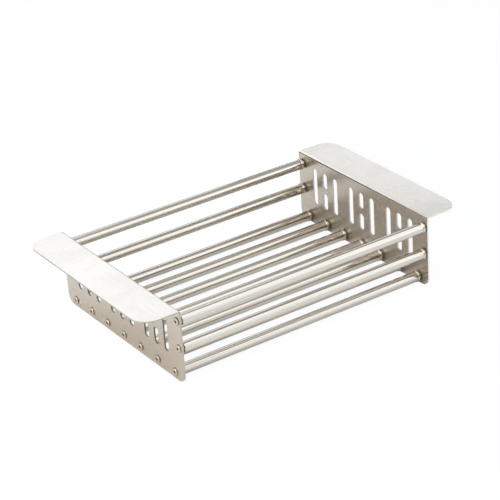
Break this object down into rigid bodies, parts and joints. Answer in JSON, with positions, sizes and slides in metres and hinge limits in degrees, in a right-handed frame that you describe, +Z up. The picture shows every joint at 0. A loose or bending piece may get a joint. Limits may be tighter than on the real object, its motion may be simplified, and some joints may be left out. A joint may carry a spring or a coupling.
{
  "type": "over-sink draining basket",
  "caption": "Telescopic over-sink draining basket: slotted folded end plates with hanging lips, joined by sliding steel tubes that make its floor and side rails.",
  "frame": {"origin": "under the middle of the closed basket, on the surface that the end plates' lower edges stand on", "axes": "+X along the tubes from the fixed plate to the sliding plate, +Y along the plates, +Z up"},
  "size_m": [0.3474, 0.2, 0.072],
  "materials": {
    "plate_brushed": "fine brushed satin",
    "tube_polished": "polished",
    "tube_drawn": "drawn bright",
    "screw_steel": "bright",
    "nylon": "moulded nylon"
  },
  "bodies": {
    "fixed_end": {"left_end_plate": "plate_brushed", "floor_1_outer_tube": "tube_polished", "floor_1_left_screw": "screw_steel", "floor_2_outer_tube": "tube_polished", "floor_2_left_screw": "screw_steel", "floor_3_outer_tube": "tube_polished", "floor_3_left_screw": "screw_steel", "floor_4_outer_tube": "tube_polished", "floor_4_left_screw": "screw_steel", "floor_5_outer_tube": "tube_polished", "floor_5_left_screw": "screw_steel", "floor_6_outer_tube": "tube_polished", "floor_6_left_screw": "screw_steel", "floor_7_outer_tube": "tube_polished", "floor_7_left_screw": "screw_steel", "front_upper_outer_tube": "tube_polished", "front_upper_left_screw": "screw_steel", "front_middle_outer_tube": "tube_polished", "front_middle_left_screw": "screw_steel", "back_upper_outer_tube": "tube_polished", "back_upper_left_screw": "screw_steel", "back_middle_outer_tube": "tube_polished", "back_middle_left_screw": "screw_steel"},
    "sliding_end": {"right_end_plate": "plate_brushed", "floor_1_inner_tube": "tube_drawn", "floor_1_glide": "nylon", "floor_1_right_screw": "screw_steel", "floor_2_inner_tube": "tube_drawn", "floor_2_glide": "nylon", "floor_2_right_screw": "screw_steel", "floor_3_inner_tube": "tube_drawn", "floor_3_glide": "nylon", "floor_3_right_screw": "screw_steel", "floor_4_inner_tube": "tube_drawn", "floor_4_glide": "nylon", "floor_4_right_screw": "screw_steel", "floor_5_inner_tube": "tube_drawn", "floor_5_glide": "nylon", "floor_5_right_screw": "screw_steel", "floor_6_inner_tube": "tube_drawn", "floor_6_glide": "nylon", "floor_6_right_screw": "screw_steel", "floor_7_inner_tube": "tube_drawn", "floor_7_glide": "nylon", "floor_7_right_screw": "screw_steel", "front_upper_inner_tube": "tube_drawn", "front_upper_glide": "nylon", "front_upper_right_screw": "screw_steel", "front_middle_inner_tube": "tube_drawn", "front_middle_glide": "nylon", "front_middle_right_screw": "screw_steel", "back_upper_inner_tube": "tube_drawn", "back_upper_glide": "nylon", "back_upper_right_screw": "screw_steel", "back_middle_inner_tube": "tube_drawn", "back_middle_glide": "nylon", "back_middle_right_screw": "screw_steel"}
  },
  "joints": [
    {"name": "extension", "type": "slide", "parent": "fixed_end", "child": "sliding_end", "axis": [1, 0, 0], "range_m": [0, 0.14]}
  ]
}
